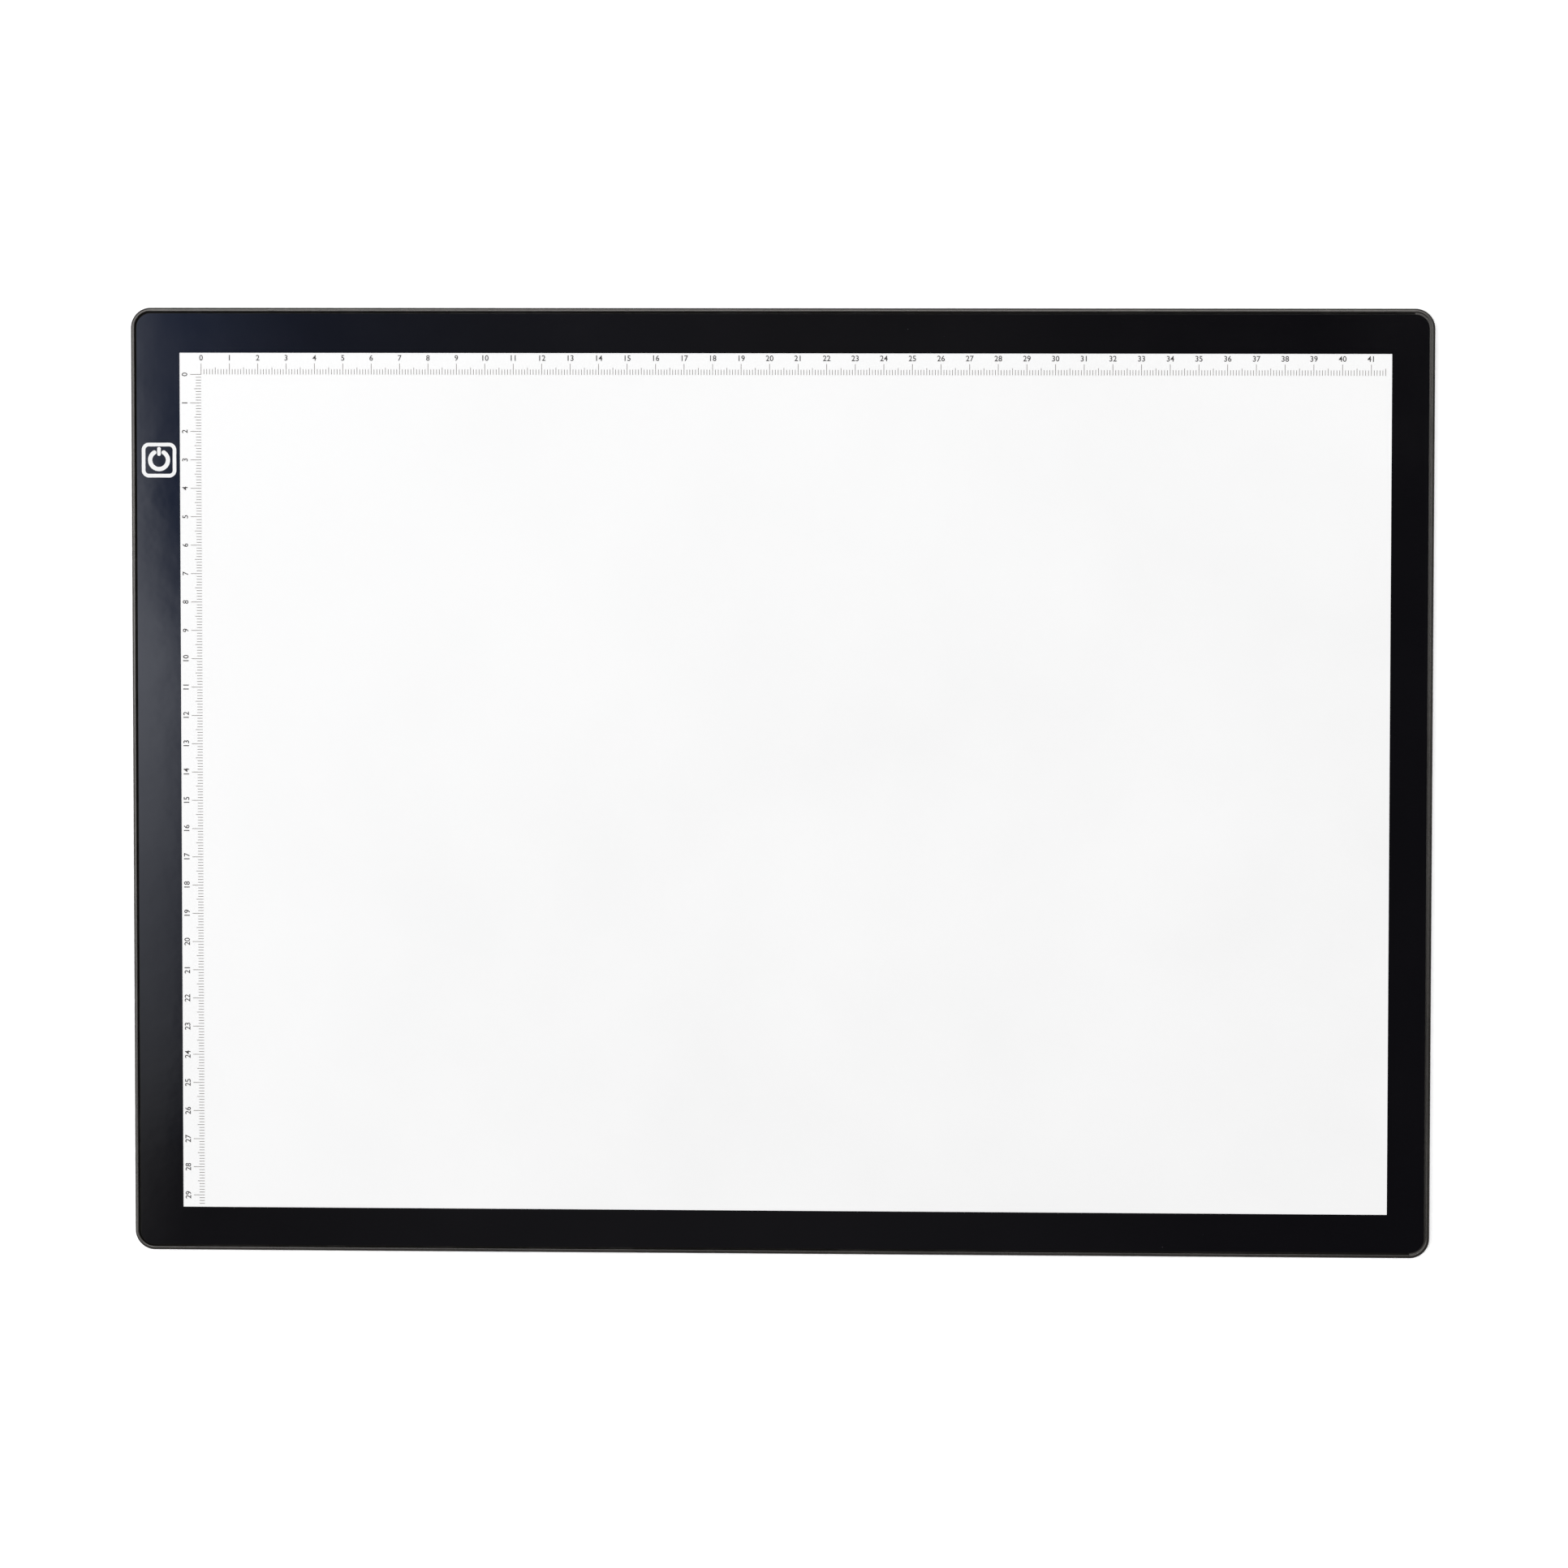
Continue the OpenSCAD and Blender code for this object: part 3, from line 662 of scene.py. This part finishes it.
def copies_of(first, count):
    """The first piece and copies of it, each with its own mesh."""
    pieces = [first]
    while len(pieces) < count:
        make_active(first)
        bpy.ops.object.duplicate(linked=False)
        pieces.append(bpy.context.object)
    return pieces


screws = copies_of(first_screw, len(screw_places))
for screw, (x, y), turn in zip(screws, screw_places, screw_turns):
    make_active(screw)
    screw.rotation_euler = (0, 0, math.radians(turn))
    screw.location = (x, y, screw_low.z)
    bpy.ops.object.transform_apply(location=True, rotation=True, scale=True)
steel_screws = join_pieces(screws, "steel_screws")
smooth_piece(steel_screws, 35)


def metal_finish(name, dull, bright, roughness, brushing, worn_height=0.0, worn_reach=0.0):
    """Plated or drawn metal with fine scratches. Within worn_reach of worn_height it is rubbed bright."""
    finish, tree, shader, place = new_finish(name)
    streaks = noise_node(tree, place, 1 / brushing, 4.0, 0.7)
    patches = use_group(tree, handling, place, Patch_Size=4 * MM)["Mask"]
    tone = share_tone(tree, streaks, 0.6, patches)
    if worn_reach:
        rub = use_group(tree, rubbed_edge, place, Edge_Height=worn_height, Reach=worn_reach, Stretch=0.6 * MM)
        tone = math_node(tree, "MAXIMUM", tone, rub["Mask"])
    tree.links.new(blend_colours(tree, tone, dull, bright), shader.inputs["Base Color"])
    shader.inputs["Metallic"].default_value = 1.0
    vary_roughness(tree, shader, patches, 0.15, roughness)
    bump_from(tree, shader, streaks, brushing * 0.04)
    return finish


screw_finish = metal_finish(
    "black nickel", (0.09, 0.09, 0.095), (0.33, 0.33, 0.34), 0.28, 0.25 * MM, screw_low.z, 0.2 * MM,
)
steel_screws.data.materials.append(screw_finish)
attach(steel_screws, "root")
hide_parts("cover_screws")


# ---- Rubber feet ----
# Six black rubber discs, 12 mm across, stuck into the cover's recesses. Each has a rounded lower edge and a
# shallow dish moulded into its underside, and is dusty where it touches the table.
foot_edge_r = 0.4 * MM
dish_r = 3.6 * MM
dish_slope = 0.5 * MM
dish_depth = 0.25 * MM
foot_high_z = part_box("foot_front_left")[1].z
first_foot = add_turned("first_foot", 0, 0, 0, foot_r, foot_high_z, foot_r)
pick_faces(first_foot, lambda f: f.normal.z < -0.9)
bpy.ops.mesh.inset(thickness=foot_r - dish_r)
bpy.ops.mesh.inset(thickness=dish_slope, depth=-dish_depth)
bpy.ops.object.mode_set(mode="OBJECT")
sole_edge = lambda a, b: all(p.z < hair and p.xy.length > foot_r - hair for p in (a, b))
round_edges(first_foot, sole_edge, foot_edge_r, 5)

rubber, tree, shader, place = new_finish("black rubber")
rubber_grain = use_group(tree, mould_grain, place, Grain_Size=0.3 * MM)
rubber_patches = use_group(tree, handling, place, Patch_Size=5 * MM)["Mask"]
sole_dust = use_group(tree, rubbed_edge, place, Edge_Height=0.0, Reach=0.35 * MM, Stretch=3 * MM)["Mask"]
lint = use_group(tree, dust_specks, place, Spacing=1.6 * MM, Speck_Size=0.1 * MM)["Mask"]
rubber_body = blend_colours(tree, rubber_grain["Tone"], (0.012, 0.012, 0.012), (0.022, 0.0215, 0.021))
dusty_body = overlay(tree, sole_dust, 0.5, rubber_body, (0.10, 0.095, 0.088))
tree.links.new(overlay(tree, lint, 0.5, dusty_body, (0.35, 0.33, 0.31)), shader.inputs["Base Color"])
vary_roughness(tree, shader, rubber_patches, 0.12, 0.72)
bump_from(tree, shader, rubber_grain["Height"], 0.02 * MM)

feet = iter(copies_of(first_foot, 6))
for row, y in zip(("front", "rear"), foot_ys):
    for column, x in zip(("left", "middle", "right"), foot_xs):
        foot = next(feet)
        make_active(foot)
        foot.location = (x, y, 0)
        name_new(f"rubber_foot_{row}_{column}")
        smooth_piece(foot, 35)
        foot.data.materials.append(rubber)
        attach(foot, "root")
        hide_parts(f"foot_{row}_{column}")


# ---- Blank label ----
# A plain satin silver label with round corners, stuck into a recess of the cover. It has a thin printed
# border line and no text.
label_edge_r = 0.03 * MM
plain_label = add_block("plain_label", label_low, label_high)
round_edges(plain_label, lambda a, b: abs(a.z - b.z) > hair, label_corner, 8)
round_edges(plain_label, lambda a, b: all(p.z < label_low.z + hair for p in (a, b)), label_edge_r, 2)
smooth_piece(plain_label)
label_finish, tree, shader, place = new_finish("satin silver label")
label_split = tree.nodes.new("ShaderNodeSeparateXYZ")
tree.links.new(place, label_split.inputs["Vector"])
line_inset = 2.2 * MM
line_w = 0.3 * MM
margins = []
for axis, reach in (("X", (label_high.x - label_low.x) / 2), ("Y", (label_high.y - label_low.y) / 2)):
    from_middle = math_node(tree, "ABSOLUTE", label_split.outputs[axis])
    margins.append(math_node(tree, "SUBTRACT", reach, from_middle))
margin = math_node(tree, "MINIMUM", *margins)
line_gap = math_node(tree, "ABSOLUTE", math_node(tree, "SUBTRACT", margin, line_inset))
border_line = map_range(tree, line_gap, line_w * 0.4, line_w * 0.6, 1.0, 0.0)
label_patches = use_group(tree, handling, place, Patch_Size=14 * MM)["Mask"]
label_grain = use_group(tree, mould_grain, place, Grain_Size=0.12 * MM)
label_specks = use_group(tree, dust_specks, place, Spacing=5 * MM, Speck_Size=0.1 * MM)["Mask"]
label_body = blend_colours(tree, label_patches, (0.44, 0.45, 0.46), (0.50, 0.51, 0.52))
lined = blend_colours(tree, border_line, label_body, (0.03, 0.03, 0.032))
tree.links.new(overlay(tree, label_specks, 0.4, lined, (0.7, 0.68, 0.65)), shader.inputs["Base Color"])
shader.inputs["Metallic"].default_value = 0.6
vary_roughness(tree, shader, label_patches, 0.12, 0.36)
bump_from(tree, shader, label_grain["Height"], 0.004 * MM)
plain_label.data.materials.append(label_finish)
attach(plain_label, "root")
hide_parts("blank_label")


# ---- USB inlet ----
# A micro-USB inlet behind an opening in the left wall: a stamped and rolled steel shell, tin plated, a black
# resin tongue moulded inside it and five gold plated contacts under the tongue.
def soften(node, name, radius, finish):
    """Puts in a CAD node's place a merged copy of it with its sharp edges rounded."""
    make_active(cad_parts[node])
    bpy.ops.object.duplicate(linked=False)
    piece = bpy.context.object
    piece.name = name
    piece.data.name = name
    bpy.ops.object.mode_set(mode="EDIT")
    bpy.ops.mesh.select_all(action="SELECT")
    bpy.ops.mesh.remove_doubles(threshold=0.001 * MM)
    bpy.ops.mesh.dissolve_limited(angle_limit=math.radians(1))
    bpy.ops.mesh.normals_make_consistent(inside=False)
    bpy.ops.object.mode_set(mode="OBJECT")
    bevel = piece.modifiers.new("softened", "BEVEL")
    bevel.width = radius
    bevel.segments = 2
    bevel.limit_method = "ANGLE"
    bevel.angle_limit = math.radians(35)
    bpy.ops.object.modifier_apply(modifier=bevel.name)
    smooth_piece(piece)
    piece.data.materials.clear()
    piece.data.materials.append(finish)
    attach(piece, "root")
    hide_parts(node)


def plain_finish(name, first, second, roughness, grain_size, grain_depth):
    """A plain non-metal: two close tones in a fine grain, with soft patches in its gloss."""
    finish, tree, shader, place = new_finish(name)
    grain = use_group(tree, mould_grain, place, Grain_Size=grain_size)
    patches = use_group(tree, handling, place, Patch_Size=grain_size * 40)["Mask"]
    tone = share_tone(tree, grain["Tone"], 0.5, patches)
    tree.links.new(blend_colours(tree, tone, first, second), shader.inputs["Base Color"])
    vary_roughness(tree, shader, patches, 0.1, roughness)
    bump_from(tree, shader, grain["Height"], grain_depth)
    return finish


tin = metal_finish("tin plate", (0.52, 0.52, 0.54), (0.68, 0.68, 0.70), 0.22, 0.3 * MM)
gold = metal_finish("gold plate", (0.80, 0.55, 0.20), (0.90, 0.66, 0.28), 0.2, 0.2 * MM)
black_resin = plain_finish(
    "black resin", (0.012, 0.012, 0.012), (0.022, 0.022, 0.022), 0.45, 0.12 * MM, 0.006 * MM,
)
soften("usb_shell", "inlet_shell", 0.06 * MM, tin)
soften("usb_tongue", "inlet_tongue", 0.06 * MM, black_resin)
soften("usb_contacts", "inlet_contacts", 0.03 * MM, gold)


# ---- Control board ----
# A narrow board of green lacquered glass-fibre with copper tracks under the lacquer, held by foam tape. It
# carries a touch chip, a dimmer transistor, capacitors and resistors, and the spring that senses the key.
board_finish, tree, shader, place = new_finish("green board")
board_split = tree.nodes.new("ShaderNodeSeparateXYZ")
tree.links.new(place, board_split.inputs["Vector"])
track_pitch = 0.9 * MM
drift = noise_node(tree, place, 1 / (7 * MM), 1.0)
straight_tracks = math_node(tree, "DIVIDE", board_split.outputs["X"], track_pitch)
track_wave = math_node(tree, "PINGPONG", math_node(tree, "MULTIPLY_ADD", drift, 4.0, straight_tracks), 0.5)
tracks = map_range(tree, track_wave, 0.14, 0.18, 1.0, 0.0)
weave = use_group(tree, mould_grain, place, Grain_Size=0.2 * MM)
board_patches = use_group(tree, handling, place, Patch_Size=12 * MM)["Mask"]
board_body = blend_colours(tree, weave["Tone"], (0.006, 0.085, 0.035), (0.010, 0.12, 0.05))
tree.links.new(blend_colours(tree, tracks, board_body, (0.02, 0.20, 0.07)), shader.inputs["Base Color"])
vary_roughness(tree, shader, board_patches, 0.12, 0.25)
bump_from(tree, shader, tracks, 0.03 * MM)
soften("control_board", "green_board", 0.05 * MM, board_finish)

foam = plain_finish("foam tape", (0.52, 0.52, 0.49), (0.64, 0.64, 0.60), 0.85, 0.15 * MM, 0.04 * MM)
ceramic = plain_finish("brown ceramic", (0.40, 0.25, 0.12), (0.50, 0.33, 0.18), 0.4, 0.1 * MM, 0.005 * MM)
spring_wire = metal_finish("spring wire", (0.60, 0.60, 0.62), (0.75, 0.75, 0.77), 0.16, 0.15 * MM)
soften("board_tape", "foam_strip", 0.02 * MM, foam)
soften("touch_controller", "touch_chip", 0.05 * MM, black_resin)
soften("dimmer_transistor", "dimmer_chip", 0.05 * MM, black_resin)
soften("board_capacitors", "capacitors", 0.08 * MM, ceramic)
soften("board_resistors", "resistors", 0.05 * MM, black_resin)
refinish("touch_spring", spring_wire)


# ---- Wires ----
# Four fine stranded wires in soft PVC, soldered to the board: a red supply and a black return to each LED
# strip. They lie in the channel beside the light guide.
red_pvc = plain_finish("red PVC", (0.42, 0.015, 0.012), (0.52, 0.022, 0.018), 0.38, 0.2 * MM, 0.008 * MM)
black_pvc = plain_finish("black PVC", (0.014,) * 3, (0.024,) * 3, 0.38, 0.2 * MM, 0.008 * MM)
for end in ("rear", "front"):
    refinish(f"{end}_supply_wire", red_pvc)
    refinish(f"{end}_return_wire", black_pvc)


# ---- Light guide, sheets and LED strips ----
# A clear acrylic guide between a white reflector and a diffuser, lit from its long edges. Each strip is a
# white lacquered flexible circuit with 44 LEDs of yellow phosphor, and tape holds the panel over it all.
white_film = plain_finish(
    "matt white film", (0.82, 0.82, 0.80), (0.88, 0.88, 0.865), 0.6, 0.4 * MM, 0.01 * MM,
)
grey_tape = plain_finish(
    "dark adhesive tape", (0.040, 0.040, 0.041), (0.060, 0.060, 0.062), 0.5, 0.5 * MM, 0.02 * MM,
)
strip_lacquer = plain_finish(
    "strip lacquer", (0.74, 0.72, 0.64), (0.82, 0.80, 0.72), 0.4, 0.3 * MM, 0.01 * MM,
)
for node in ("diffuser_sheet", "reflector_sheet", "edge_reflector_left", "edge_reflector_right"):
    refinish(node, white_film)
refinish("panel_tape", grey_tape)
refinish("rear_led_strip", strip_lacquer)
refinish("front_led_strip", strip_lacquer)

# Polished clear acrylic with a fine pattern of printed dots that let the light out
guide_finish, tree, shader, place = new_finish("clear acrylic guide")
guide_dots = tree.nodes.new("ShaderNodeTexVoronoi")
feed(tree, place, guide_dots.inputs["Vector"])
guide_dots.inputs["Scale"].default_value = 1 / (1.2 * MM)
dot_mask = map_range(tree, guide_dots.outputs["Distance"], 0.22, 0.28, 1.0, 0.0)
guide_colour = blend_colours(tree, dot_mask, (0.86, 0.93, 0.96), (0.9, 0.9, 0.9))
tree.links.new(guide_colour, shader.inputs["Base Color"])
tree.links.new(map_range(tree, dot_mask, 0.0, 1.0, 0.05, 0.5), shader.inputs["Roughness"])
shader.inputs["IOR"].default_value = 1.49
shader.inputs["Transmission Weight"].default_value = 0.9
bump_from(tree, shader, dot_mask, 0.01 * MM)
refinish("light_guide", guide_finish)

# White housings whose front is filled with yellow phosphor
led_finish, tree, shader, place = new_finish("LED body")
led_split = tree.nodes.new("ShaderNodeSeparateXYZ")
tree.links.new(place, led_split.inputs["Vector"])
led_middle_z = sum(corner.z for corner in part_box("rear_leds")) / 2
led_away = math_node(tree, "ABSOLUTE", math_node(tree, "SUBTRACT", led_split.outputs["Z"], led_middle_z))
phosphor = map_range(tree, led_away, 0.42 * MM, 0.5 * MM, 1.0, 0.0)
led_grain = use_group(tree, mould_grain, place, Grain_Size=0.08 * MM)
housing = blend_colours(tree, led_grain["Tone"], (0.82, 0.82, 0.80), (0.88, 0.88, 0.86))
phosphor_body = blend_colours(tree, led_grain["Tone"], (0.86, 0.66, 0.12), (0.92, 0.76, 0.2))
tree.links.new(blend_colours(tree, phosphor, housing, phosphor_body), shader.inputs["Base Color"])
tree.links.new(map_range(tree, phosphor, 0.0, 1.0, 0.4, 0.2), shader.inputs["Roughness"])
bump_from(tree, shader, led_grain["Height"], 0.005 * MM)
refinish("rear_leds", led_finish)
refinish("front_leds", led_finish)


# ---- Camera ----
# It stands two and a half metres above the pad, a little to its rear right, and looks almost straight down
# through a long lens.
bpy.ops.object.camera_add(
    location=(124.03 * MM, 166.27 * MM, 2506.64 * MM),
    rotation=(math.radians(-3.8045), math.radians(2.8097), math.radians(0.0437)),
)
camera = bpy.context.object
camera.data.lens = 163.98
camera.data.sensor_width = 36
camera.data.clip_start = 0.05
camera.data.clip_end = 50
bpy.context.scene.camera = camera


# ---- Table and light ----
# A plain white table top in a white room with a dark ceiling, a bright ring of light round it and a tall soft
# panel lamp over the pad's left edge.
bpy.ops.object.select_all(action="DESELECT")
bpy.ops.mesh.primitive_plane_add(size=12)
table = name_new("table_top")
table_finish, tree, shader, place = new_finish("plain table")
shader.inputs["Roughness"].default_value = 0.9
shader.inputs["Emission Color"].default_value = (1.0, 1.0, 1.0, 1.0)
shader.inputs["Emission Strength"].default_value = 1.0
table_tone = noise_node(tree, place, 1 / (40 * MM), 3.0)
table_colour = blend_colours(tree, table_tone, (0.9, 0.9, 0.9), (0.92, 0.92, 0.92))
tree.links.new(table_colour, shader.inputs["Base Color"])
table.data.materials.append(table_finish)

room = bpy.data.worlds.new("room")
bpy.context.scene.world = room
room.use_nodes = True
tree = room.node_tree
toward = tree.nodes.new("ShaderNodeTexCoord").outputs["Generated"]
split = tree.nodes.new("ShaderNodeSeparateXYZ")
tree.links.new(toward, split.inputs["Vector"])
east, north = split.outputs["X"], split.outputs["Y"]


def steps_of(tree, value, stops):
    """A curve through (value, level) pairs, with straight runs between them."""
    first, last = stops[0][0], stops[-1][0]
    highest = max(level for _, level in stops)
    ramp = tree.nodes.new("ShaderNodeValToRGB")
    marks = ramp.color_ramp.elements
    while len(marks) < len(stops):
        marks.new(0.5)
    for mark, (at, level) in zip(marks, stops):
        mark.position = (at - first) / (last - first)
        mark.color = (level / highest,) * 3 + (1.0,)
    feed(tree, map_range(tree, value, first, last, 0.0, 1.0), ramp.inputs["Fac"])
    return math_node(tree, "MULTIPLY", ramp.outputs["Color"], highest)


def hump(tree, value, middle, reach):
    """1 at the middle, falling to 0 at reach on either side."""
    away = math_node(tree, "DIVIDE", math_node(tree, "SUBTRACT", value, middle), reach)
    return math_node(tree, "SUBTRACT", 1.0, math_node(tree, "MULTIPLY", away, away), clamp=True)


# Bright walls round a dark ceiling, brightest close to it and at the rear left, and dim near the horizon
ceiling_x, ceiling_y = -0.05, -0.08
off_x = math_node(tree, "SUBTRACT", east, ceiling_x)
off_y = math_node(tree, "SUBTRACT", north, ceiling_y)
off_2 = math_node(tree, "MULTIPLY_ADD", off_x, off_x, math_node(tree, "MULTIPLY", off_y, off_y))
off = math_node(tree, "SQRT", off_2)
upper_wall = steps_of(tree, off, [
    (0.0, 0.0), (0.13, 0.0), (0.15, 4.2), (0.26, 4.2), (0.34, 1.6), (0.48, 1.6), (0.58, 0.4), (0.80, 0.4),
    (0.86, 0.0), (1.0, 0.0),
])
lower_wall = steps_of(tree, off, [(0.0, 0.02), (0.15, 0.02), (0.80, 0.25), (0.94, 0.30), (1.0, 0.30)])
bias = math_node(tree, "MULTIPLY_ADD", north, 9.0, math_node(tree, "MULTIPLY_ADD", east, -6.0, 1.0))
bias = math_node(tree, "MINIMUM", math_node(tree, "MAXIMUM", bias, 0.04), 2.0)
walls = math_node(tree, "MULTIPLY_ADD", upper_wall, bias, lower_wall)

# A tall soft panel lamp over the left edge, brightest towards the rear
panel_bow = steps_of(tree, north, [
    (-0.14, 0.0), (-0.125, 0.0028), (-0.105, 0.008), (-0.048, 0.0074), (-0.038, 0.004), (-0.03, 0.003),
    (0.0, 0.0012),
])
panel_edge = math_node(tree, "ADD", panel_bow, -0.14)
inside_edge = map_range(tree, math_node(tree, "SUBTRACT", panel_edge, east), -0.0015, 0.0015, 0.0, 1.0)
panel_fall = map_range(tree, east, -0.22, -0.17, 0.0, 1.0)
panel_level = steps_of(tree, north, [
    (-0.14, 0.1), (-0.125, 0.25), (-0.105, 0.6), (-0.08, 1.13), (-0.06, 1.82), (-0.048, 2.05), (-0.03, 1.9),
    (-0.015, 1.6), (0.0, 1.1), (0.06, 0.0),
])
panel_glow = math_node(tree, "MULTIPLY", math_node(tree, "MULTIPLY", inside_edge, panel_fall), panel_level)

# A faint blue glow at the rear left, and a faint neutral one over the middle
blue_x = steps_of(tree, east, [
    (-0.24, 0.0), (-0.17, 1.0), (-0.135, 1.0), (-0.125, 0.57), (-0.115, 0.31), (-0.09, 0.1), (-0.05, 0.0),
])
blue_y = steps_of(tree, north, [(-0.12, 0.0), (-0.05, 1.0), (0.0, 1.0), (0.08, 0.0)])
blue_glow = math_node(tree, "MULTIPLY", blue_x, blue_y)
middle_glow = math_node(tree, "MULTIPLY", hump(tree, east, -0.069, 0.085), 0.08)
white_light = math_node(tree, "ADD", math_node(tree, "ADD", walls, panel_glow), middle_glow)
sky = tree.nodes["Background"]
plain = tree.nodes.new("ShaderNodeCombineColor")
for label, share in (("Red", 0.08), ("Green", 0.20), ("Blue", 0.58)):
    tree.links.new(math_node(tree, "MULTIPLY_ADD", blue_glow, share, white_light), plain.inputs[label])
# Seen straight, the room is plain white, so its lights show only in what they light
straight = tree.nodes.new("ShaderNodeLightPath").outputs["Is Camera Ray"]
tree.links.new(blend_colours(tree, straight, plain.outputs["Color"], (1.0, 1.0, 1.0)), sky.inputs["Color"])
sky.inputs["Strength"].default_value = 2.0

bpy.context.scene.view_settings.exposure = -1.0
bpy.context.scene.view_settings.view_transform = "Standard"
